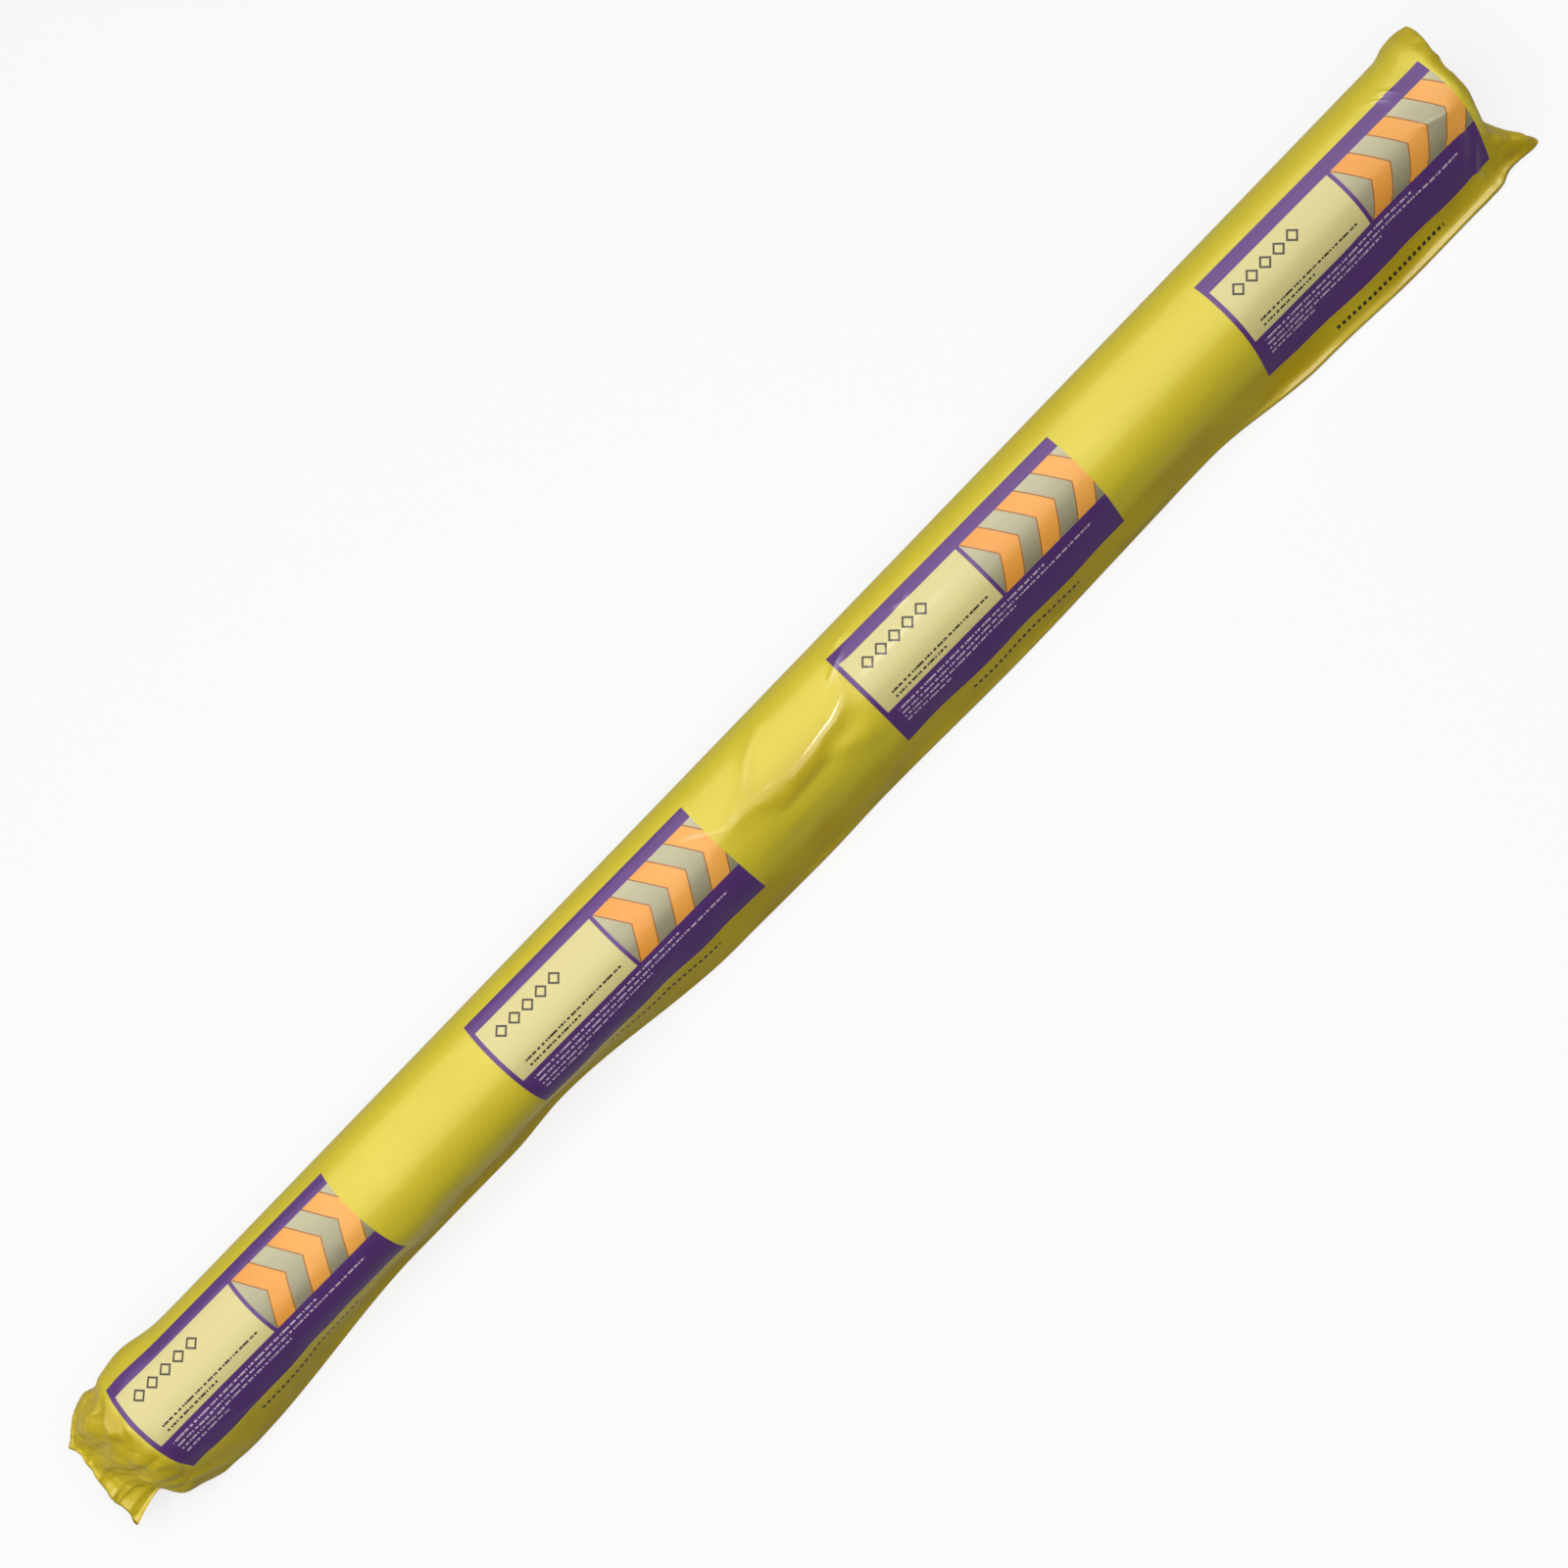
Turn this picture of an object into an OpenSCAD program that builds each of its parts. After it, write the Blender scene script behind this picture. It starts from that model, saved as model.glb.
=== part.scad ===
// Roll of nonwoven reinforcing fabric, sealed in one loose sleeve of plastic film.
// X runs along the roll and Z is up. The origin is on the floor, straight below the middle
// of the roll's axis. The film's slack lies on the floor on the -Y side.

/* [Fabric] */
// Width of the fabric, which is the length of the roll
fabric_w = 1000; // [500:10:1400]
// Length of fabric on the roll
fabric_len = 10000; // [5000:500:15000]
// Thickness of one wound turn
turn_t = 0.31; // [0.2:0.01:0.6]
// Bore left by the winding spindle
bore_d = 28; // [20:1:60]
// Spacing of the ridges that show the turns on the ends
ridge_pitch = 1.7; // [1.2:0.1:3]
// Height of those ridges
ridge_h = 0.8; // [0.4:0.1:1.5]

/* [Film] */
// Wall of the sleeve
film_t = 0.5; // [0.3:0.1:1]
// Gap between the fabric and the film
film_gap = 0.3; // [0.2:0.1:1]
// Radius of the fold where the slack film turns back under the roll
crease_r = 1.6; // [1.3:0.1:3]

/* [Gathered end] */
// How far the gathered end reaches past the fabric
tail_len = 42; // [20:1:80]
// Width of the gathered end
tail_w = 60; // [40:1:70]
// Thickness of the gathered end
tail_t = 13; // [6:1:20]
// Angle at which the gathered end lies to the floor
tail_tilt = 26; // [0:1:40]
// Depth of the pleats in the gathered end
pleat_h = 2.4; // [0:0.1:4]
// Number of pleats in the gathered end
pleats = 7; // [3:1:9]
// How much shorter the gathered end is at its rear corner
tail_cut = 6; // [0:1:19]

/* [Sealed end] */
// How far the seal stands off the fabric
seal_off = 4.5; // [4:0.5:20]
// Thickness of the seal
seal_t = 2.6; // [2.2:0.1:5]
// How far the floor ear points past the seal
floor_ear = 5; // [0:0.5:20]
// How far the rear ear stands proud of the roll
rear_ear = 4; // [0:0.5:15]
// Width of film that is welded shut at each end
weld = 2; // [1:0.5:3.5]

/* [Hidden] */
$fn = 96;

// The roll's diameter follows from the fabric wound on it.
roll_d = sqrt(pow(bore_d, 2) + 4 * fabric_len * turn_t / PI);
roll_r = roll_d / 2;
film_r = roll_r + film_gap + film_t;
half_w = fabric_w / 2;

// How far the crease lies outside (+) or inside (-) the roll's widest point,
// at shares of the fabric's width from the middle.
slack_at = [
    [-0.5, 3], [-0.47, 4.2], [-0.36, -4.4], [-0.26, -4.4], [-0.218, -7.2],
    [-0.09, 5.2], [-0.02, 6.2], [0.02, 5.4], [0.13, 7.4], [0.275, 5.2],
    [0.355, 14.3], [0.43, 17], [0.5, 16.8]
];

// Points round one section: on the roll, on each straight stretch, and round the crease.
arc_n = 24;
flat_n = 3;
crease_n = 6;
ring_n = arc_n + 2 * flat_n + crease_n;
first_turn = (arc_n - 1) / 2;

// Sections along the roll, and past each end.
body_n = 24;
tail_n = 8;
seal_n = 4;

function ease(t) = (1 - cos(180 * t)) / 2;
function mix(a, b, t) = a + (b - a) * t;

// Slack of the film at a share of the width, eased between the places in slack_at.
function slack_between(s, i) =
    s <= slack_at[i + 1][0] || i == len(slack_at) - 2
    ? let (t = (s - slack_at[i][0]) / (slack_at[i + 1][0] - slack_at[i][0]))
      mix(slack_at[i][1], slack_at[i + 1][1], ease(min(1, max(0, t))))
    : slack_between(s, i + 1);
function slack(s) = slack_between(s, 0);
function crease_y(s) = -(film_r + slack(s) - crease_r);

// The outward angle of the straight film between the roll and the crease.
function drape_angle(s) = 90 + 2 * atan2(film_r - crease_r, -crease_y(s));

// Corners of a band of facets that touch a round of radius r from outside.
function round_points(y, z, r, from, to, n) =
    let (step = (to - from) / n, corner_r = r / cos(step / 2))
    [for (k = [0:n - 1])
        let (a = from + step * (k + 0.5))
        [y + corner_r * cos(a), z + corner_r * sin(a)]];
function between(p, q, n) = [for (k = [1:n]) mix(p, q, k / (n + 1))];

// One section of the sleeve in Y and Z. It is drawn inwards by inset, so that the
// inner wall follows the outer one at the film's thickness.
function section(s, inset) =
    let (
        a = drape_angle(s),
        roll_side = round_points(0, film_r, film_r - inset, -90, a, arc_n),
        crease = round_points(crease_y(s), crease_r, crease_r - inset, a, 270, crease_n)
    )
    concat(
        roll_side,
        between(roll_side[arc_n - 1], crease[0], flat_n),
        crease,
        between(crease[crease_n - 1], roll_side[0], flat_n)
    );

// Turn of point k round a flattened end: 0 at the rear edge, 180 at the floor edge.
function turn(k) = 360 * (k - first_turn) / ring_n;

// A flattened end: its middle, its direction across, half its width and half its thickness.
function lens(middle, tilt, half_across, half_t, inset, fold, k) =
    let (
        g = turn(k),
        across = (half_across - inset) * cos(g),
        up = (half_t - inset) * sin(g) + fold * cos(pleats * g) * pow(sin(g), 2)
    )
    [middle[0] + across * cos(tilt) - up * sin(tilt), middle[1] + across * sin(tilt) + up * cos(tilt)];

// The gathered end, from the fabric's end face outwards.
tail_middle = [-4, film_r - 3];
function tail_reach(k) = tail_len - tail_cut * pow(max(0, cos(turn(k))), 3);
function tail_ring(t, inset) =
    let (start = section(-0.5, inset), solid_part = inset > 0 ? weld : 0)
    [for (k = [0:ring_n - 1])
        let (
            end = lens(tail_middle, tail_tilt, tail_w / 2, tail_t / 2, inset, pleat_h, k),
            yz = mix(start[k], end, pow(t, 0.8)),
            past = film_gap + film_t - inset + (tail_reach(k) - solid_part) * t
        )
        [-half_w - past, yz[0], yz[1]]];

// The sealed end: a flat seal from the floor crease to the ear at the rear of the roll.
rear_angle = (drape_angle(0.5) + 270) / 2 - 180;
floor_corner = [crease_y(0.5) - crease_r, crease_r];
rear_corner = [0, film_r] + (film_r + rear_ear) * [cos(rear_angle), sin(rear_angle)];
seal_middle = (floor_corner + rear_corner) / 2;
seal_tilt = atan2(rear_corner[1] - floor_corner[1], rear_corner[0] - floor_corner[0]);
seal_half = norm(rear_corner - floor_corner) / 2;
function seal_reach(k) = seal_off + floor_ear * pow(max(0, -cos(turn(k))), 5);
function seal_ring(t, inset) =
    let (start = section(0.5, inset), solid_part = inset > 0 ? weld : 0)
    [for (k = [0:ring_n - 1])
        let (
            end = lens(seal_middle, seal_tilt, seal_half, seal_t / 2, inset, 0, k),
            yz = mix(start[k], end, t),
            past = film_gap + film_t - inset + (seal_reach(k) - solid_part) * t
        )
        [half_w + past, yz[0], yz[1]]];

function body_ring(s, inset) = [for (p = section(s, inset)) [s * fabric_w, p[0], p[1]]];

// All the sections of one wall, from the gathered end to the sealed end.
function wall_rings(inset) = concat(
    [for (k = [tail_n:-1:0]) tail_ring(k / tail_n, inset)],
    [for (k = [0:body_n]) body_ring(k / body_n - 0.5, inset)],
    [for (k = [0:seal_n]) seal_ring(k / seal_n, inset)]
);

// Skin over the rings. Each face between two rings is split along its shorter diagonal,
// and each end is closed by strips between its upper and lower points.
module skin(rings) {
    points = [for (ring = rings) each ring];
    last = (len(rings) - 1) * ring_n;
    half_n = ring_n / 2;
    top_first = floor(first_turn) + 1;
    sides = [
        for (i = [0:len(rings) - 2], k = [0:ring_n - 1])
            let (
                a = i * ring_n + k,
                b = i * ring_n + (k + 1) % ring_n,
                c = b + ring_n,
                d = a + ring_n
            )
            each norm(points[a] - points[c]) < norm(points[b] - points[d])
                ? [[a, c, b], [a, d, c]]
                : [[a, d, b], [b, d, c]]
    ];
    ends = [
        for (k = [0:half_n - 2])
            let (
                u = (top_first + k) % ring_n,
                u_next = (top_first + k + 1) % ring_n,
                v = (top_first - 1 - k + ring_n) % ring_n,
                v_next = (top_first - 2 - k + ring_n) % ring_n
            )
            each [
                [u_next, v, u], [u_next, v_next, v],
                [last + u, last + v, last + u_next], [last + u_next, last + v, last + v_next]
            ]
    ];
    polyhedron(points = points, faces = concat(sides, ends), convexity = 8);
}

// The wound fabric: one turned solid, ridged on both ends by its turns.
module fabric_roll() {
    ridges = max(1, floor((roll_r - bore_d / 2) / ridge_pitch));
    pitch = (roll_r - bore_d / 2) / ridges;
    end_edge = [
        for (k = [0:ridges - 1])
            let (r = bore_d / 2 + k * pitch)
            each [[r, half_w - ridge_h], [r + pitch / 2, half_w]]
    ];
    outer_corner = [[roll_r, half_w - ridge_h]];
    profile = concat(end_edge, outer_corner);
    mirrored = [for (k = [len(profile) - 1:-1:0]) [profile[k][0], -profile[k][1]]];
    color([0.93, 0.92, 0.88])
        translate([0, 0, film_r])
            rotate([0, 90, 0])
                rotate_extrude()
                    polygon(concat(profile, mirrored));
}

// The film: a tube that wraps the roll, lies slack on one side and is shut at both ends.
module film_sleeve() {
    color([0.91, 0.83, 0.28])
        difference() {
            skin(wall_rings(0));
            skin(wall_rings(film_t));
        }
}

fabric_roll();
film_sleeve();
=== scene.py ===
"""A roll of reinforcing fabric in its sleeve of printed plastic film, lying on a pale floor."""
import math

import bmesh
import bpy
import numpy as np
from mathutils import Matrix, Vector, noise


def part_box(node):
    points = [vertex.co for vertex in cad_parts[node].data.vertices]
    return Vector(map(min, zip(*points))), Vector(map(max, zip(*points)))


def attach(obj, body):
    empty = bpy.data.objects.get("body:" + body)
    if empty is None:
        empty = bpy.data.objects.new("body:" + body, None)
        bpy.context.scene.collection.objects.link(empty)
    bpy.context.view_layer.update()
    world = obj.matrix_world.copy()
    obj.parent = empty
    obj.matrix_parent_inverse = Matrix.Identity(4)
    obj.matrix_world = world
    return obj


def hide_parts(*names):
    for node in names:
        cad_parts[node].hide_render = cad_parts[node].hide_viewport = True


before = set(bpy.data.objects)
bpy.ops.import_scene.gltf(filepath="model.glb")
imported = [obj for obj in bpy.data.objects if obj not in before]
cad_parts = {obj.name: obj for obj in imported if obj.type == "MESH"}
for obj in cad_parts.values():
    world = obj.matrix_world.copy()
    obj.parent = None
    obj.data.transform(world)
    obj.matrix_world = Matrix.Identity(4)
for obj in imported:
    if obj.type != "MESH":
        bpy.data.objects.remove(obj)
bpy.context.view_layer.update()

MM = 0.001

# ---------------------------------------------------------------- sizes from the frame, in mm

roll_low, roll_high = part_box("fabric_roll")
HALF_W = roll_high.x / MM
ROLL_R = (roll_high.z - roll_low.z) / 2 / MM
AXIS_Z = (roll_low.z + roll_high.z) / 2 / MM
WALL = 0.3             # thickness of the film
SNUG = 0.08            # air between film and fabric where the film is tight
FILM_R = ROLL_R + WALL + SNUG
RIM = HALF_W + WALL + SNUG

# How far the crease on the floor lies outside (+) or inside (-) the roll's widest point,
# at shares of the fabric's width from the middle.
SLACK = [
    (-0.5, 5.4), (-0.475, 6.8), (-0.34, -3.1), (-0.263, -2.7), (-0.221, -5.5),
    (-0.09, 7.2), (-0.02, 8.3), (0.022, 7.5), (0.133, 9.3), (0.28, 7.0),
    (0.362, 15.8), (0.438, 18.9), (0.5, 18.6),
]

# ---------------------------------------------------------------- the flat sheet of film, in mm

COLUMNS = 144          # round the sleeve, from straight below the axis and up the rear
LEAVE = 90             # the column where the film may leave the roll
CREASE = 120           # the column of the crease on the floor
REAR = CREASE - COLUMNS // 2
LEAVE_TURN = math.radians(150)
COLUMN = FILM_R * (LEAVE_TURN + math.pi / 2) / LEAVE
FLAT_ROUND = COLUMN * COLUMNS
TAIL_FILM = 46         # film past the fabric at the gathered end
SEAL_FILM = 44         # film past the fabric at the sealed end
FLAT_LONG = 2 * HALF_W + TAIL_FILM + SEAL_FILM

# ---------------------------------------------------------------- the sections along the roll

CREASE_R = 1.0                      # radius of the crease on the floor
FLANGE = 3.0                        # how far the two layers lie together along the crease
EARLY = math.radians(7)             # the film leaves the roll this much above its tangent
STEEP, FLARED = 1.45, 1.05          # how steeply it comes down to the crease, in radians
FLARE_FROM, FLARE_TO = 7.5, 15      # the slack over which a steep drape turns into a flared one


def smooth(low, high, x):
    t = np.clip((x - low) / (high - low), 0, 1)
    return t * t * (3 - 2 * t)


def mix(a, b, t):
    return a + (b - a) * t


def slack(x):
    """The crease's place past the roll's widest point at x, eased between the given places."""
    share = x / (2 * HALF_W)
    for (s0, v0), (s1, v1) in zip(SLACK, SLACK[1:]):
        if share <= s1 or s1 == SLACK[-1][0]:
            return mix(v0, v1, float(smooth(s0, s1, share)))


def bezier(p0, p1, p2, p3, n):
    t = np.linspace(0, 1, n)[:, None]
    return (1 - t) ** 3 * p0 + 3 * t * (1 - t) ** 2 * p1 + 3 * t * t * (1 - t) * p2 + t ** 3 * p3


def resample(path, n):
    """n + 1 points evenly spaced along a path."""
    far = np.concatenate([[0], np.cumsum(np.linalg.norm(np.diff(path, axis=0), axis=1))])
    at = np.linspace(0, far[-1], n + 1)
    return np.stack([np.interp(at, far, path[:, 0]), np.interp(at, far, path[:, 1])], 1)


def on_roll(turn, r=FILM_R):
    return np.stack([r * np.cos(turn), AXIS_Z + r * np.sin(turn)], -1)


def facing(angle):
    return np.array([math.cos(angle), math.sin(angle)])


def section(x):
    """One section of the sleeve in Y and Z, a point for each column."""
    out = AXIS_Z + slack(x)
    nose = np.array([-(out - CREASE_R), CREASE_R])
    leave = math.pi / 2 + 2 * math.atan2(AXIS_Z - CREASE_R, -nose[0]) - EARLY
    start = on_roll(np.array(leave))
    down = facing(leave + math.pi / 2)
    flare = float(smooth(FLARE_FROM, FLARE_TO, slack(x)))
    arrive = -facing(mix(STEEP, FLARED, flare))
    foot = nose + np.array([FLANGE * flare, 1.9 * CREASE_R])
    far = np.linalg.norm(foot - start)
    drape = bezier(start, start + down * far * 0.4, foot - arrive * far * 0.3, foot, 60)
    arc = on_roll(np.linspace(LEAVE_TURN, leave, 40))
    tip = nose + np.array([-CREASE_R, 0])
    shoulder = nose + CREASE_R * np.array([-0.75, 0.66])
    front = np.concatenate([arc[:-1], drape, [nose + CREASE_R * np.array([-0.2, 1.0]), shoulder, tip]])
    ground = np.stack([np.linspace(nose[0], 0, 30), np.zeros(30)], 1)
    under = np.concatenate([[tip, nose + CREASE_R * np.array([-0.7, -0.7])], ground])
    rise = on_roll(np.linspace(-math.pi / 2, LEAVE_TURN, LEAVE + 1))
    low = 1 - smooth(0, 14, np.arange(LEAVE + 1))
    rise[:, 1] -= (AXIS_Z - FILM_R) * low
    return np.concatenate([
        rise[:-1],
        resample(front, CREASE - LEAVE)[:-1],
        resample(under, COLUMNS - CREASE)[:-1],
    ])


FINE_ROW, COARSE_ROW = 1.65, 6.0    # space between rows at the ends and on the plain body
MIDDLE_FINE = 0.77                  # how far the creased middle goes towards the fine rows


def row_places():
    """Places of the sheet's rows along X, closer together where it is creased."""
    places = [-(HALF_W + TAIL_FILM)]
    while places[-1] < HALF_W + SEAL_FILM:
        x = places[-1]
        fine = 1 - float(smooth(30, 110, HALF_W - abs(x)))
        fine = max(fine, MIDDLE_FINE * (1 - float(smooth(110, 150, abs(x)))))
        places.append(x + mix(COARSE_ROW, FINE_ROW, fine))
    places = np.array(places)
    return places[0] + (places - places[0]) * FLAT_LONG / (places[-1] - places[0])


# ---------------------------------------------------------------- the two ends
# Each list gives, at a third, two thirds and all of the film past the fabric, eight points
# round it: the fold at the rear, three on top, the crease at the front, three below.
# A point is (past the fabric, Y, Z).

TAIL = [
    [(19, 32.6, 50), (15, 4, 67), (15, -23, 56), (19, -34, 28),
     (20.5, -34, 7), (22, -10, 3), (24, 17, 8), (22, 33, 28)],
    [(31, 29, 49), (32, 9, 54), (32, -12, 46), (31, -24, 31),
     (26.5, -26, 18), (32, -9, 12), (35.5, 12, 18), (34, 27, 33)],
    [(44.5, 19, 45), (45.3, 9, 44), (49.5, -6, 37), (49, -20, 29),
     (52.5, -31, 19), (49, -17, 20), (49, -3, 28), (44, 10, 37)],
]

SEAL = [
    [(13.6, 28.6, 57), (9, 3, 64), (7.4, -19, 55), (9, -37, 28),
     (26.5, -49.5, 2), (12, -17, 4), (11.5, 13, 14), (10, 28, 36)],
    [(12, 23, 54), (9.7, 4, 55), (9.2, -11, 45), (9.8, -27, 26),
     (19, -41, 9), (11.7, -21, 10), (10, 4, 24), (8.7, 18, 38)],
    [(9.9, 17, 48), (9.5, 7, 44), (9.9, -6, 36), (10.5, -18, 25),
     (13, -30, 14), (10, -17, 21), (8.9, -5, 32), (8.1, 8, 42)],
]


TAIL_LEAD, SEAL_LEAD = 14, 5        # how firmly the film runs straight on past the fabric's edge


def hermite(a, run_a, b, run_b, t):
    """A curve from a to b that leaves and arrives along the given runs."""
    t2, t3 = t * t, t ** 3
    return (2 * t3 - 3 * t2 + 1) * a + (t3 - 2 * t2 + t) * run_a + (3 * t2 - 2 * t3) * b + (t3 - t2) * run_b


def whole_ring(guides):
    """A smooth closed ring of COLUMNS points through the guide points; the first is the rear fold."""
    n = len(guides)
    each = COLUMNS // n
    t = (np.arange(each) / each)[:, None]
    out = []
    for i in range(n):
        before, a, b, after = (guides[(i + k) % n] for k in (-1, 0, 1, 2))
        out.append(hermite(a, (b - before) / 2, b, (after - a) / 2, t))
    return np.concatenate(out)


def end_rows(start, guides, way, film, lead, fars):
    """Rows of the film past the fabric: way is -1 for the gathered end and 1 for the sealed one."""
    rings = [np.column_stack([np.full(COLUMNS, way * RIM), start])]
    for guide in guides:
        points = np.array(guide, float)
        points[:, 0] = way * (HALF_W + points[:, 0])
        rings.append(np.roll(whole_ring(points), REAR, axis=0))
    runs = [np.array([way * lead, 0, 0])]
    runs += [(after - before) / 2 for before, after in zip(rings, rings[2:])]
    runs.append((rings[-1] - rings[-2]) / 2)
    rows = []
    for far in fars:
        t = len(guides) * far / film
        i = min(int(t), len(guides) - 1)
        rows.append(hermite(rings[i], runs[i], rings[i + 1], runs[i + 1], t - i))
    return rows


def film_surface(places):
    """Every point of the sleeve before it wrinkles: rows along X by columns round it."""
    tail = [x for x in places if x < -HALF_W]
    seal = [x for x in places if x > HALF_W]
    body = [x for x in places if -HALF_W <= x <= HALF_W]
    rows = end_rows(section(-HALF_W), TAIL, -1, TAIL_FILM, TAIL_LEAD, [-HALF_W - x for x in tail])
    rows += [np.column_stack([np.full(COLUMNS, x), section(x)]) for x in body]
    rows += end_rows(section(HALF_W), SEAL, 1, SEAL_FILM, SEAL_LEAD, [x - HALF_W for x in seal])
    return np.array(rows)


# ---------------------------------------------------------------- wrinkles

# Soft folds of the film: height, width, then the points of the fold's ridge, as (X, arc).
FOLDS = [
    (1.8, 5.0, [(56, 100), (48, 117), (34, 124), (16, 126), (-2, 127), (-24, 122)]),
    (1.6, 4.5, [(2, 94), (-16, 108), (-25, 115), (-41, 121)]),
    (2.0, 6.0, [(40, 143), (16, 133), (-14, 133), (-30, 124), (-57, 124)]),
    (-1.2, 5.0, [(44, 132), (26, 134), (8, 141), (-20, 142)]),
    (0.9, 3.0, [(47, 113), (56, 106), (66, 100)]),
    (0.7, 2.2, [(60, 94), (72, 92)]),
    (0.9, 1.9, [(40, 113), (50, 107), (59, 103)]),
    (0.8, 1.8, [(97, 104), (104, 107), (111, 105)]),
    (0.8, 2.4, [(-72, 108), (-62, 114), (-50, 122)]),
    (0.8, 2.6, [(-455, 154), (-468, 146), (-480, 143)]),
    (0.7, 2.4, [(-448, 162), (-462, 158), (-478, 154)]),
    (0.7, 1.5, [(466, 99), (474, 109)]),
    (0.7, 1.5, [(472, 98), (479, 108)]),
    (1.0, 3.0, [(472, 127), (484, 133), (494, 135)]),
    (1.1, 2.0, [(493, 146), (489, 156), (483, 166)]),
    (1.1, 2.1, [(496, 158), (489, 176), (493, 192)]),
    (1.1, 1.7, [(-504, 87), (-517, 98), (-526, 107), (-530, 119)]),
    (1.5, 1.8, [(-504, 94), (-515, 113), (-526, 122), (-534, 131)]),
    (-1.6, 2.1, [(-506, 138), (-520, 139), (-529, 147), (-537, 153)]),
    (1.2, 1.7, [(-509, 156), (-519, 148), (-528, 142), (-538, 138)]),
    (1.4, 1.9, [(-516, 160), (-506, 171), (-492, 190)]),
    (-1.1, 1.6, [(-541, 74), (-542, 110), (-540, 140), (-542, 170), (-541, 192)]),
    (-0.9, 1.6, [(-508, 80), (-519, 90), (-530, 96), (-543, 92)]),
    (1.0, 1.7, [(-530, 78), (-534, 100), (-529, 113)]),
    (-1.0, 1.7, [(-528, 126), (-536, 118), (-543, 116)]),
    (0.9, 1.6, [(-521, 162), (-530, 158), (-542, 160)]),
    (-1.0, 1.8, [(-503, 108), (-511, 124), (-522, 131)]),
    (0.8, 1.6, [(-508, 124), (-516, 130), (-520, 137)]),
]

# Places where the film stands off the roll: X, reach along X, turn, spread of turn, height.
FLARES = [
    (-490, 17, 24, 24, 4.6),
    (0, 56, 112, 22, 2.4),
    (504, 6.5, 24, 24, 2.2),
    (497, 8, 125, 30, 0.8),
]

# Pulls on the film's ends: X, columns from the rear fold, reach along X and in columns, the move.
TUGS = [
    (-510, 3, 3.5, 8, (0, -2.8, -1.6)),
    (-546, 0, 5, 3, (0, 0.6, 0)),
    (-546, 4, 6, 4, (-1.0, 0, 0)),
    (-546, 15, 8, 7, (0.8, 0, 0)),
    (-546, 51, 7, 7, (-2.2, 0, 0)),
    (-546, 66, 6, 4, (-1.2, -0.3, 0)),
    (498, 3, 4, 8, (0, 1.2, 0.6)),
    (508, 7, 7, 9, (3.4, 0.6, 0)),
    (508, 40, 7, 8, (0.6, 0, 0)),
    (506, 72, 5, 7, (0, 1.0, 0)),
    (514, 72, 5, 4, (0.4, -1.6, 0)),
    (505, 72, 5, 6, (-0.4, 2.2, 0)),
]

# Trains of sharp creases: their direction in degrees, spacing and height.
CREASES = [(14, 47, 1.7), (69, 36, 1.3), (-36, 29, 1.1), (-9, 17, 0.5), (44, 13, 0.35)]
CREASE_WARP = 23                    # how far noise bends them, in mm


def from_rear(column):
    """Columns between a column and the rear fold, counted the shorter way round."""
    half = COLUMNS // 2
    return np.abs((column - REAR + half) % COLUMNS - half)


def zigzag(at):
    """Runs straight between -1 at whole numbers and 1 halfway between them."""
    return 1 - 4 * np.abs(at - np.floor(at) - 0.5)


def away_from_line(x, s, line):
    """Distance of every place of the sheet from a line through points, and how far along it is."""
    near = np.full(x.shape, 1e9)
    along = np.zeros(x.shape)
    legs = [math.dist(a, b) for a, b in zip(line, line[1:])]
    run, whole = 0.0, sum(legs)
    for (x0, s0), (x1, s1), leg in zip(line, line[1:], legs):
        t = np.clip(((x - x0) * (x1 - x0) + (s - s0) * (s1 - s0)) / leg ** 2, 0, 1)
        d = np.hypot(x - mix(x0, x1, t), s - mix(s0, s1, t))
        along = np.where(d < near, (run + t * leg) / whole, along)
        near = np.minimum(near, d)
        run += leg
    return near, along


def rumple(x, s, scale, seed):
    """Smooth noise over the sheet, the same all the way round."""
    turn = 2 * math.pi / COLUMNS
    r = FLAT_ROUND / (2 * math.pi)
    out = np.empty(x.shape)
    for i in np.ndindex(x.shape):
        a = s[i] / r
        out[i] = noise.noise(Vector((x[i] + seed * 91.7, r * math.cos(a), r * math.sin(a))) / scale)
    return out


def creases(x, s, seed):
    """Sharp creases with flat facets between them, in mm."""
    warp = 0.55 * rumple(x, s, 34, seed)
    up = np.zeros(x.shape)
    for angle, wave, height in CREASES:
        a = math.radians(angle)
        at = (x * math.sin(a) + s * math.cos(a)) / wave + warp * (CREASE_WARP / wave) + 0.37 * seed
        up += height * zigzag(at)
    return up


def wrinkles(x, s):
    """How far every place of the sheet stands out of its smooth shape, in mm."""
    up = np.zeros(x.shape)
    for height, width, line in FOLDS:
        away, along = away_from_line(x, s, line)
        fade = np.sqrt(np.sin(math.pi * np.clip(along, 0.06, 0.94)))
        up += height * np.exp(-(away / width) ** 2) * fade
    for place, reach, turn, spread, height in FLARES:
        away = (s / FILM_R - math.pi / 2 - math.radians(turn)) / math.radians(spread)
        up += height * np.exp(-((x - place) / reach) ** 2 - away ** 2)
    wide = rumple(x, s, 46, 1)
    small = rumple(x, s, 15, 2)
    sharp = creases(x, s, 3)
    column = s / COLUMN
    loose = smooth(LEAVE - 3, LEAVE + 12, column) * (1 - smooth(CREASE - 5, CREASE, column))
    up += loose * (2.2 * wide + 0.4 * small)
    up += 0.25 * smooth(0.1, 0.5, wide) * smooth(150, 240, s)
    past = np.abs(x) - HALF_W
    near_end = np.exp(-(np.minimum(past, 0) / 22) ** 2)
    past_end = smooth(0, 22, past)
    gathered = near_end * (0.5 * small + 0.25 + 0.18 * sharp) + 0.42 * past_end * sharp
    sealed = near_end * (0.4 * small + 0.2 + 0.08 * sharp) + 0.4 * past_end * sharp
    return up + np.where(x < 0, gathered, sealed)


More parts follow.
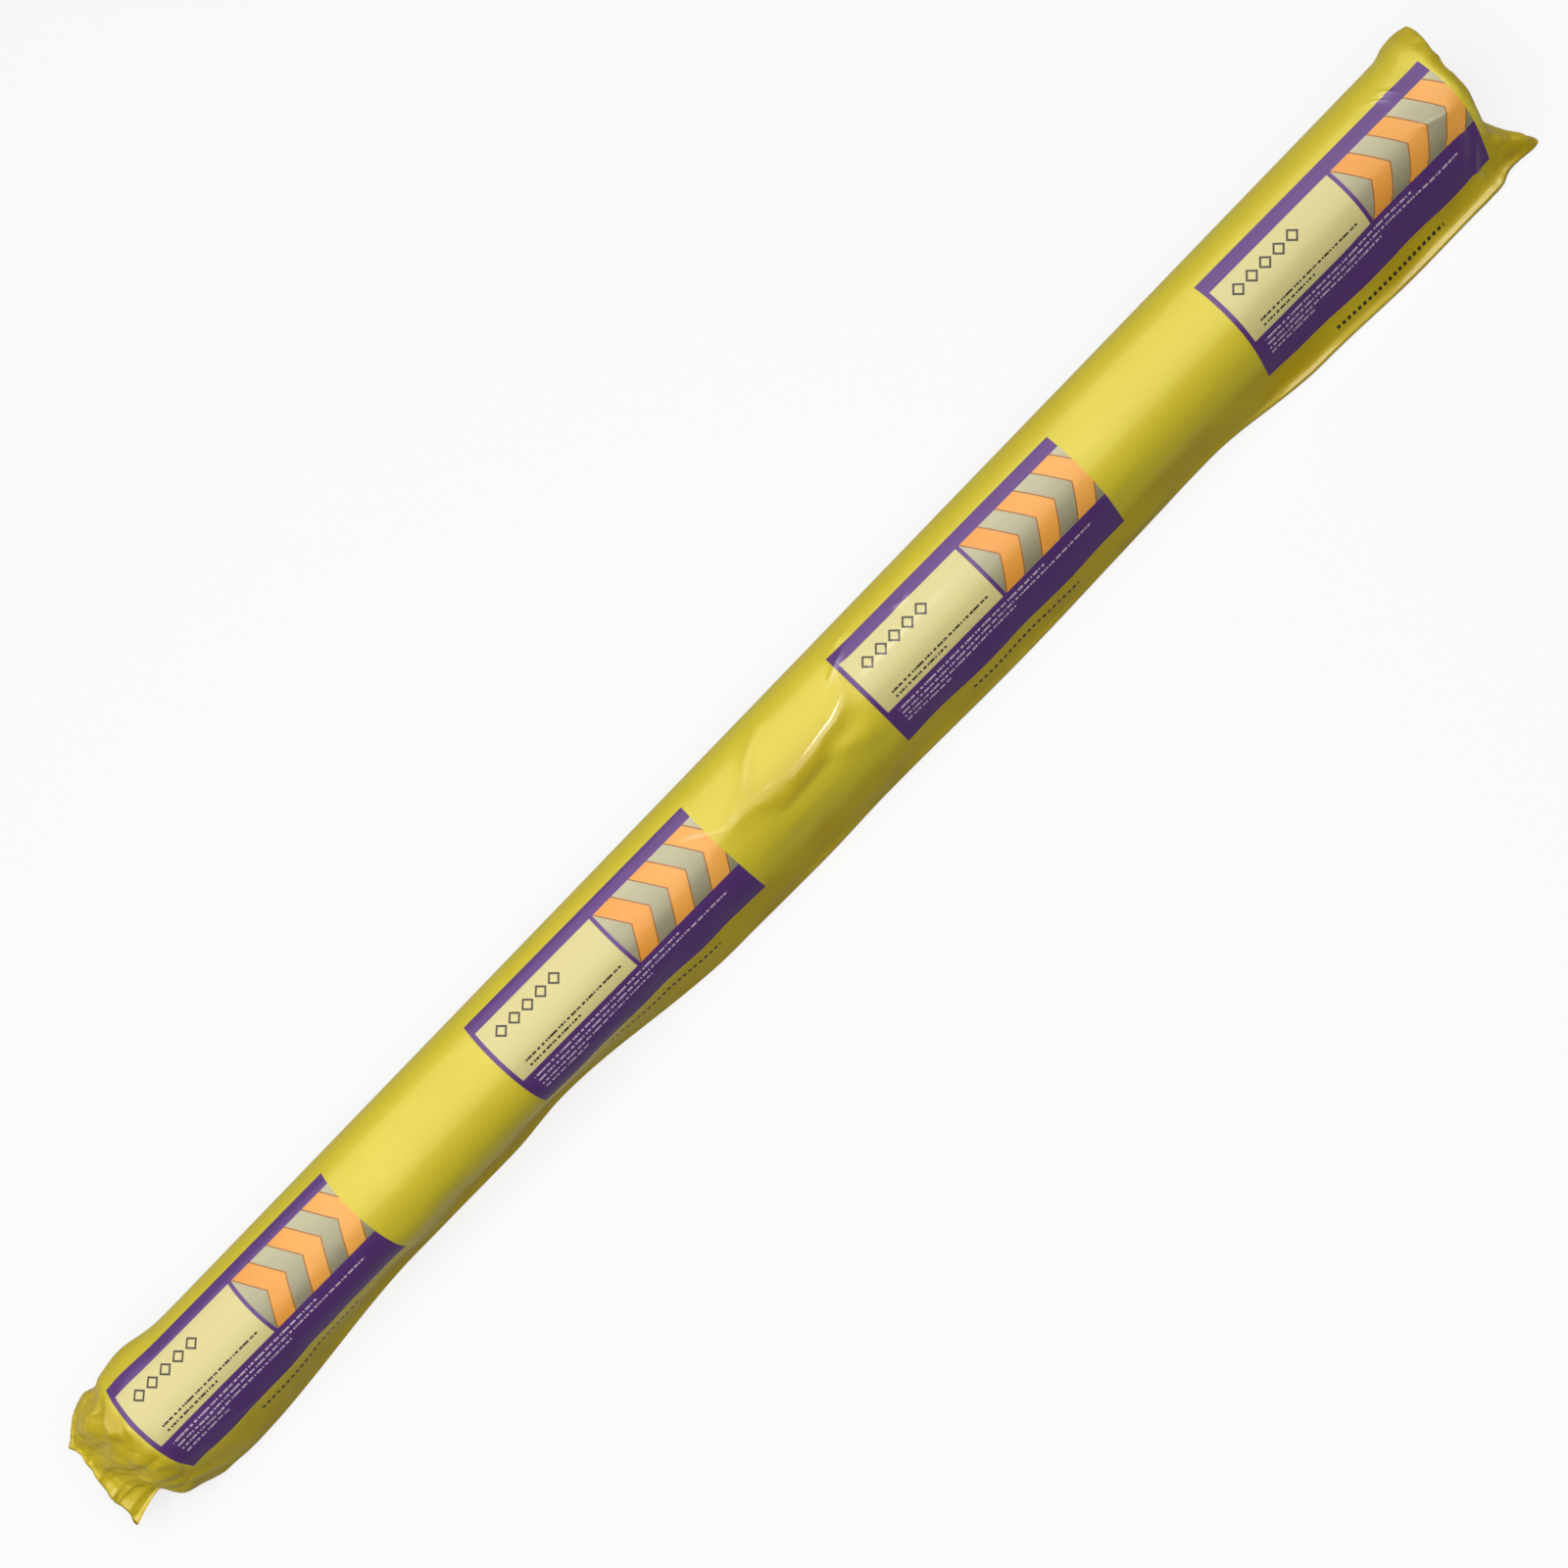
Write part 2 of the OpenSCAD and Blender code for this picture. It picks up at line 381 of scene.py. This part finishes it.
def pleats(x, s):
    """The gathers of the tail, which both of its layers share."""
    c = 1 - 4 * from_rear(s / COLUMN) / COLUMNS
    broad = zigzag(1.9 * c + 0.35 * np.sin(2.6 * c + 0.8))
    narrow = zigzag(4.7 * c + 0.5 * np.sin(3.7 * c))
    return smooth(4, 36, -HALF_W - x) * (1.1 * broad + 0.3 * narrow) * (1 - c ** 6)


def outward(p):
    """Outward directions on a grid of rows whose columns close on themselves."""
    along = np.gradient(p, axis=0)
    round_it = np.roll(p, -1, 1) - np.roll(p, 1, 1)
    n = np.cross(round_it, along)
    return n / np.maximum(np.linalg.norm(n, axis=2, keepdims=True), 1e-9)


def upward_on_end(p):
    """The direction that both flattened layers of an end share."""
    n = outward(p)
    columns = np.arange(COLUMNS)
    upper = (columns - REAR) % COLUMNS < COLUMNS // 2
    return np.where(upper[None, :, None], n, -n)


def mirror_columns():
    """For each column, the one that it meets when the end is flat."""
    return (2 * REAR - np.arange(COLUMNS)) % COLUMNS


def tug(p, x):
    """Pulls the film's ends into small points and notches, both layers alike."""
    across = from_rear(np.arange(COLUMNS))
    for place, column, reach, wide, move in TUGS:
        share = np.exp(-((x - place) / reach) ** 2 - ((across - column) / wide) ** 2)
        p = p + share[..., None] * np.array(move)
    return p


def keep_clear(p, inside_r):
    """No point goes into the roll or the floor."""
    radial = p[..., 1:] - np.array([0, AXIS_Z])
    r = np.linalg.norm(radial, axis=2, keepdims=True)
    beside = (np.abs(p[..., 0:1]) < RIM) & (r < inside_r)
    p[..., 1:] = np.where(beside, np.array([0, AXIS_Z]) + radial * inside_r / r, p[..., 1:])
    p[..., 2] = np.maximum(p[..., 2], 0)
    return p


def wall_clear(p):
    """Film that faces up has its wall below it, so it lies that much higher off the floor."""
    upper = outward(p)[..., 2] > 0
    upper[0] = upper[-1] = True
    p[..., 2] = np.maximum(p[..., 2], WALL * upper)
    return p


PINCH_FROM = 0.45                   # the share of an end's film at which its layers start to close
PINCHED = 0.14                      # the share of its thickness that is left at its edge


def film_points(places):
    """Every point of the sleeve: its smooth shape, wrinkled, pulled and pinched shut."""
    p = film_surface(places)
    x, s = np.meshgrid(places, np.arange(COLUMNS) * COLUMN, indexing="ij")
    n = outward(p)
    p = p + n * wrinkles(x, s)[..., None]
    p = p + upward_on_end(p) * pleats(x, s)[..., None]
    p = keep_clear(tug(p, x), FILM_R)
    pinch = np.maximum(
        smooth(PINCH_FROM, 1.0, (-HALF_W - places) / TAIL_FILM),
        smooth(PINCH_FROM, 1.0, (places - HALF_W) / SEAL_FILM),
    )[:, None, None]
    middle = (p + p[:, mirror_columns()]) / 2
    shut = mix(1.0, PINCHED, pinch)
    shut[0] = shut[-1] = 0
    return wall_clear(middle + (p - middle) * shut)


def how_creased(p):
    """1 where the film turns sharply from one point to the next, 0 where it is even."""
    n = outward(p)
    across = np.linalg.norm(np.roll(n, -1, 1) - np.roll(n, 1, 1), axis=2)
    along = np.linalg.norm(np.gradient(n, axis=0), axis=2) * 2
    return smooth(0.2, 0.6, np.maximum(across, along))


def film_mesh():
    """The sleeve as one closed mesh with its flat sheet as UV map and two values for its finish."""
    places = row_places()
    p = film_points(places) * MM
    rows, cols = len(places), COLUMNS + 1
    bm = bmesh.new()
    bmesh.ops.create_grid(bm, x_segments=rows - 1, y_segments=cols - 1, size=0.5)
    uv = bm.loops.layers.uv.new("sheet")
    backing = bm.verts.layers.float.new("backing")
    crease = bm.verts.layers.float.new("creased")
    bm.verts.ensure_lookup_table()
    at = np.array([v.co for v in bm.verts])
    r = np.rint((at[:, 0] + 0.5) * (rows - 1)).astype(int)
    c = np.rint((at[:, 1] + 0.5) * (cols - 1)).astype(int)
    share = (places - places[0]) / (places[-1] - places[0])
    for f in bm.faces:
        for loop in f.loops:
            i = loop.vert.index
            loop[uv].uv = (share[r[i]], c[i] / COLUMNS)
    lift = np.linalg.norm(p[..., 1:] - np.array([0, AXIS_Z * MM]), axis=2) / MM - ROLL_R
    lift = np.maximum(lift, np.abs(p[..., 0]) / MM - HALF_W)
    backed = 1 - smooth(0.9, 5.5, lift)
    creased = how_creased(p)
    for v, i, j in zip(bm.verts, r, c):
        v.co = p[i, j % COLUMNS]
        v[backing] = backed[i, j % COLUMNS]
        v[crease] = creased[i, j % COLUMNS]
    bmesh.ops.remove_doubles(bm, verts=bm.verts, dist=0.002 * MM)
    if bm.calc_volume(signed=True) < 0:
        bmesh.ops.reverse_faces(bm, faces=bm.faces)
    mesh = bpy.data.meshes.new("printed_film")
    bm.to_mesh(mesh)
    bm.free()
    mesh.shade_smooth()
    return mesh


# ---------------------------------------------------------------- finishes


def paint(r, g, b):
    """A colour given as it looks on a screen, from 0 to 255."""
    def light(v):
        v /= 255
        return v / 12.92 if v <= 0.04045 else ((v + 0.055) / 1.055) ** 2.4
    return (light(r), light(g), light(b), 1.0)


class Wire:
    """One socket of a material: a sum written with it adds its Math nodes."""

    def __init__(self, tree, socket=None):
        self.tree = tree
        self.socket = socket

    def node(self, kind, inputs=None, out=0, **settings):
        """Adds a node: its settings first, then a value or a wire for each of its sockets."""
        made = self.tree.nodes.new(kind)
        for name, value in settings.items():
            setattr(made, name, value)
        for key, value in (inputs or {}).items():
            if isinstance(value, Wire):
                self.tree.links.new(value.socket, made.inputs[key])
            else:
                made.inputs[key].default_value = value
        return Wire(self.tree, made.outputs[out])

    def feed(self, shader, inputs):
        """Links a wire to each named input of a shader node."""
        for name, wire in inputs.items():
            self.tree.links.new(wire.socket, shader.inputs[name])

    def math(self, operation, *values):
        return self.node("ShaderNodeMath", dict(enumerate(values)), operation=operation)

    def __add__(self, other):
        return self.math("ADD", self, other)

    __radd__ = __add__

    def __sub__(self, other):
        return self.math("SUBTRACT", self, other)

    def __rsub__(self, other):
        return self.math("SUBTRACT", other, self)

    def __mul__(self, other):
        return self.math("MULTIPLY", self, other)

    __rmul__ = __mul__

    def __truediv__(self, other):
        return self.math("DIVIDE", self, other)

    def past(self, edge, soft=0.25):
        """0 below an edge and 1 above it, with a soft step."""
        low = edge - soft
        high = edge + soft
        return self.node("ShaderNodeMapRange", {0: self, 1: low, 2: high}, interpolation_type="SMOOTHSTEP")

    def between(self, low, high, soft=0.25):
        return self.past(low, soft) * (1 - self.past(high, soft))

    def blend(self, colour_a, colour_b):
        """Colour a where this is 0 and colour b where it is 1."""
        return self.node("ShaderNodeMix", {0: self, 6: colour_a, 7: colour_b}, out=2, data_type="RGBA")

    def split(self, axis):
        return self.node("ShaderNodeSeparateXYZ", {0: self}, out=axis)


def new_finish(name, **values):
    """A material, its Principled shader and a Wire to build on; values are the same all over."""
    material = bpy.data.materials.new(name)
    material.use_nodes = True
    shader = material.node_tree.nodes["Principled BSDF"]
    for key, value in values.items():
        shader.inputs[key.replace("_", " ")].default_value = value
    return material, shader, Wire(material.node_tree)


YELLOW = paint(228, 210, 50)        # film with the fabric close behind it
BARE_YELLOW = paint(198, 170, 2)    # film with nothing behind it
PURPLE = paint(86, 46, 117)
CREAM = paint(224, 212, 142)
PRINT_BLACK = paint(42, 33, 22)
PALE = paint(214, 196, 214)

# The print, in mm along the roll and round it.
PANELS = 4
PANEL_PITCH = 277.6
PANEL_START = -501.1
PANEL_LONG = 167.0
PANEL_TOP = 96.1       # arc from straight below the axis to the panels' upper edge
PRINT_SKEW = 0.014     # how far the print runs off the film's direction
BAND = 8.8             # height of a panel's upper band
FIELD = 38.0           # height of the fields below it
LOW_BAND = 27.5        # height of the lower band
CREAM_FROM, CREAM_TO, PICTURE_FROM = 2.9, 90, 92.4  # from the panel's left edge

CHEVRON_PITCH, CHEVRON_SHIFT, CHEVRON_SLOPE = 27, 16, 0.62
CHEVRON_FROM, CHEVRON_TO = 0.6, 15.4                # the orange part of each pitch
CHEVRON_LINE = 0.9                                  # the dark line round it
LOZENGES, LOZENGE_PITCH = 5, 10
LOZENGE_FROM, LOZENGE_DOWN = 9.5, 18.5              # from the panel's left and upper edge
LOZENGE_INSIDE, LOZENGE_OUTSIDE = 2.9, 4.5

# Rows of short strokes: each (top, thickness, from, to).
CREAM_ROWS = [(39.0, 1.3, 12, 84), (42.6, 1.3, 12, 50)]
PURPLE_ROWS = [(50.2, 1.2, 8, 118), (53.6, 1.2, 8, 152), (57.0, 1.2, 8, 92), (60.4, 1.2, 8, 40)]
ROW_BELOW = (82, 84.2, 46, 127)     # one row under each panel: top, foot, from, to


def distance(wire, place):
    return wire.math("ABSOLUTE", wire - place)


def chevrons(w, x, y):
    """Broad orange chevrons on a grey ground, x and y from their top left corner."""
    place = x + CHEVRON_SLOPE * distance(y, FIELD / 2) + CHEVRON_SHIFT
    place = place.math("MODULO", place, CHEVRON_PITCH)
    orange = place.between(CHEVRON_FROM, CHEVRON_TO)
    line = 1 - place.between(CHEVRON_FROM + CHEVRON_LINE, CHEVRON_TO - CHEVRON_LINE)
    ground = w.node("ShaderNodeTexNoise", {"Scale": 30.0, "Detail": 4.0}, noise_dimensions="3D")
    grey = (y / FIELD * 0.8 + 0.25 * ground).blend(paint(206, 200, 160), paint(140, 134, 104))
    warm = (x / (PANEL_LONG - PICTURE_FROM)).blend(paint(242, 160, 56), paint(250, 176, 76))
    return orange.blend(grey, (line * orange).blend(warm, paint(150, 92, 44)))


def lozenges(x, y):
    """A row of outlined lozenges."""
    across = x.math("PINGPONG", x - (LOZENGE_FROM + LOZENGE_PITCH / 2), LOZENGE_PITCH / 2)
    outline = (across + distance(y, LOZENGE_DOWN)).between(LOZENGE_INSIDE, LOZENGE_OUTSIDE, 0.2)
    return outline * x.between(LOZENGE_FROM, LOZENGE_FROM + LOZENGE_PITCH * LOZENGES)


def stroke_rows(w, x, y, rows):
    """Rows of short strokes of uneven length."""
    ink = None
    for k, (top, thick, start, stop) in enumerate(rows):
        noise_at = {"W": x * 0.62 + 13.7 * k, "Scale": 1.0, "Detail": 0.0}
        broken = w.node("ShaderNodeTexNoise", noise_at, noise_dimensions="1D").past(0.43, 0.03)
        row = y.between(top, top + thick, 0.15) * x.between(start, stop) * broken
        ink = row if ink is None else ink + row
    return ink


def panel_art(w, x, y):
    """One panel of the print, x and y from its top left corner."""
    field = y.between(BAND, BAND + FIELD)
    cream = field * x.between(CREAM_FROM, CREAM_TO)
    marks = stroke_rows(w, x, y, CREAM_ROWS) + lozenges(x, y)
    strokes = stroke_rows(w, x, y, PURPLE_ROWS)
    art = cream.blend(strokes.blend(PURPLE, PALE), marks.blend(CREAM, PRINT_BLACK))
    picture = field * x.past(PICTURE_FROM)
    return picture.blend(art, chevrons(w, x - PICTURE_FROM, y - BAND))


def printed(w, x, y, ground):
    """The film's own colour with the print on it."""
    last_edge = PANEL_START + (PANELS - 1) * PANEL_PITCH + PANEL_LONG
    in_reach = x.past(PANEL_START) * (1 - x.past(last_edge))
    px = x.math("MODULO", x - PANEL_START, PANEL_PITCH)
    top, foot, start, stop = ROW_BELOW
    dashes = px.math("PINGPONG", px, 1.9).past(0.8, 0.15)
    below = dashes * y.between(top, foot, 0.15) * px.between(start, stop) * in_reach
    panel = px.between(0, PANEL_LONG) * in_reach * y.between(0, BAND + FIELD + LOW_BAND)
    return panel.blend(below.blend(ground, PRINT_BLACK), panel_art(w, px, y))


def film_finish():
    """Glossy yellow film: brighter where the fabric backs it, crisp where it is creased."""
    material, shader, w = new_finish("printed_film", IOR=1.5, Specular_IOR_Level=0.13, Coat_Roughness=0.1)
    sheet = w.node("ShaderNodeUVMap", uv_map="sheet")
    x = sheet.split(0) * FLAT_LONG - (HALF_W + TAIL_FILM)
    y = sheet.split(1) * FLAT_ROUND - PANEL_TOP - x * PRINT_SKEW
    backed = w.node("ShaderNodeAttribute", out=2, attribute_name="backing")
    creased = w.node("ShaderNodeAttribute", out=2, attribute_name="creased")
    ends = x.math("ABSOLUTE", x).past(HALF_W + 4, 9)
    spots = w.node("ShaderNodeTexCoord", out=3)
    cloudy = w.node("ShaderNodeTexNoise", {"Vector": spots, "Scale": 22.0, "Detail": 3.0})
    clear = backed.blend(BARE_YELLOW, YELLOW)
    faded = (0.35 * backed + 0.5).blend(BARE_YELLOW, YELLOW)
    colour = printed(w, x, y, cloudy.past(0.5, 0.3).blend(clear, faded))

    grain = w.node("ShaderNodeTexNoise", {"Vector": spots, "Scale": 160.0, "Detail": 2.0})
    soft = w.node("ShaderNodeBump", {"Strength": 0.12, "Distance": 0.0006, "Height": grain})
    cells = w.node("ShaderNodeTexVoronoi", {"Vector": spots, "Scale": 70.0}, feature="DISTANCE_TO_EDGE")
    crumpled = w.node("ShaderNodeBump", {
        "Strength": 0.65, "Distance": 0.0045, "Height": cells * ends, "Normal": soft,
    })
    w.feed(shader, {
        "Base Color": colour,
        "Roughness": 0.45 + 0.1 * (cloudy - 0.5),
        "Normal": crumpled,
        "Coat Weight": 0.02 + 0.05 * backed + (0.65 - 0.4 * ends) * creased,
    })
    return material


def fabric_finish():
    """White needled fleece: matted fibres, and the turns' edges on the ends."""
    material, shader, w = new_finish("white_fleece", Roughness=0.95)
    spots = w.node("ShaderNodeTexCoord", out=3)
    shape = {"Vector": spots, "Scale": 900.0, "Detail": 3.0, "Distortion": 1.6}
    fibres = w.node("ShaderNodeTexNoise", shape)
    mat = w.node("ShaderNodeTexNoise", {"Vector": spots, "Scale": 60.0, "Detail": 3.0})
    y, z = spots.split(1), spots.split(2) - AXIS_Z * MM
    radius = y.math("SQRT", y * y + z * z)
    turns = radius.math("PINGPONG", radius * 1000, 0.17) * 5
    mixed = 0.5 * fibres + 0.25 * mat + 0.15 * turns
    bump = w.node("ShaderNodeBump", {"Strength": 0.5, "Distance": 0.0004, "Height": fibres + 0.4 * turns})
    w.feed(shader, {"Base Color": mixed.blend(paint(206, 203, 192), paint(240, 238, 230)), "Normal": bump})
    return material


# ---------------------------------------------------------------- the film and the fabric

film = bpy.data.objects.new("printed_film", film_mesh())
bpy.context.scene.collection.objects.link(film)
film.data.materials.append(film_finish())
wall = film.modifiers.new("wall", "SOLIDIFY")
wall.thickness = WALL * MM
wall.offset = -1
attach(film, "root")
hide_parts("film_sleeve")
FLAT_ROUND * MM

fleece = fabric_finish()
for slot in bpy.data.objects["fabric_roll"].material_slots:
    slot.material = fleece

# ---------------------------------------------------------------- floor, light and camera


REFLECTED = 0.5        # how bright the background is in a reflection
FLOOR_GLOW = 0.75      # how much of the floor's white comes without light, where it is seen
LIT_BY_WORLD = 0.22    # strength of the world's light on the object
WORLD_SHOWN = 0.95     # its strength where it is seen
FLOOR_REACH = 6        # from the floor's middle to its sides, in metres


def rays_that_show(w):
    """1 where the camera or a clear thing sees the background, less of it in a reflection."""
    camera, glossy, clear = [
        w.node("ShaderNodeLightPath", out=f"Is {kind} Ray") for kind in ("Camera", "Glossy", "Transmission")
    ]
    return camera.math("MAXIMUM", camera.math("MAXIMUM", camera, REFLECTED * glossy), clear)


def floor_finish():
    """A floor that is grey to the light and near white to the eye, with the object's shadow on it."""
    material, shader, w = new_finish("pale_floor", Roughness=0.9, Specular_IOR_Level=0.0)
    seen = rays_that_show(w)
    w.feed(shader, {"Base Color": seen.blend(paint(100, 100, 98), paint(253, 253, 253))})
    glow = w.node("ShaderNodeEmission", {"Color": (1, 1, 1, 1), "Strength": 1.0})
    lit = Wire(material.node_tree, shader.outputs["BSDF"])
    both = w.node("ShaderNodeMixShader", {0: seen * FLOOR_GLOW, 1: lit, 2: glow})
    w.feed(material.node_tree.nodes["Material Output"], {"Surface": both})
    return material


def new_floor():
    mesh = bpy.data.meshes.new("floor")
    bm = bmesh.new()
    bmesh.ops.create_grid(bm, x_segments=1, y_segments=1, size=FLOOR_REACH)
    bm.to_mesh(mesh)
    bm.free()
    mesh.materials.append(floor_finish())
    floor = bpy.data.objects.new("floor", mesh)
    bpy.context.scene.collection.objects.link(floor)


def area_light(name, place, size, watts):
    """A lamp that faces straight down."""
    data = bpy.data.lights.new(name, "AREA")
    data.shape = "RECTANGLE"
    data.size, data.size_y = size
    data.energy = watts
    lamp = bpy.data.objects.new(name, data)
    lamp.location = place
    bpy.context.scene.collection.objects.link(lamp)
    return lamp


def new_world():
    world = bpy.data.worlds.new("studio")
    bpy.context.scene.world = world
    world.use_nodes = True
    w = Wire(world.node_tree)
    back = world.node_tree.nodes["Background"]
    back.inputs["Color"].default_value = (1, 1, 1, 1)
    w.feed(back, {"Strength": LIT_BY_WORLD + (WORLD_SHOWN - LIT_BY_WORLD) * rays_that_show(w)})


def studio():
    """One lamp that lights the object, and two that only shine in its gloss."""
    overhead = area_light("overhead", (-0.3, -0.2, 2.1), (2.8, 2.6), 45)
    overhead.visible_glossy = False
    sparkle = area_light("sparkle", (0.1, -0.3, 2.3), (0.28, 0.28), 17)
    sparkle.visible_diffuse = False
    ceiling = area_light("ceiling", (-0.1, 0.8, 2.25), (4.4, 6.6), 600)
    ceiling.visible_diffuse = False
    new_world()


LENS, SENSOR = 60.98, 36.0
DISTANCE = 1.448
ELEVATION = math.radians(70)
NEARER_END = math.radians(1.52)  # how far the view turns towards the sealed end
ROLL_ON_PICTURE = math.radians(45.95)
AIM = (-9.8, 7.34)               # along the roll and down the picture from its axis, in mm


def new_camera():
    data = bpy.data.cameras.new("camera")
    data.lens, data.sensor_width = LENS, SENSOR
    camera = bpy.data.objects.new("camera", data)
    bpy.context.scene.collection.objects.link(camera)
    bpy.context.scene.camera = camera
    back = Vector((
        math.sin(NEARER_END),
        -math.cos(NEARER_END) * math.cos(ELEVATION),
        math.cos(NEARER_END) * math.sin(ELEVATION),
    ))
    across = (Vector((1, 0, 0)) - back * back.x).normalized()
    over = back.cross(across)
    aim = Vector((AIM[0] * MM, 0, AXIS_Z * MM)) - over * AIM[1] * MM
    right = across * math.cos(ROLL_ON_PICTURE) - over * math.sin(ROLL_ON_PICTURE)
    up = across * math.sin(ROLL_ON_PICTURE) + over * math.cos(ROLL_ON_PICTURE)
    turn = Matrix((right, up, back)).transposed().to_4x4()
    camera.matrix_world = Matrix.Translation(aim + back * DISTANCE) @ turn


new_floor()
studio()
new_camera()
bpy.context.scene.view_settings.view_transform = "Standard"
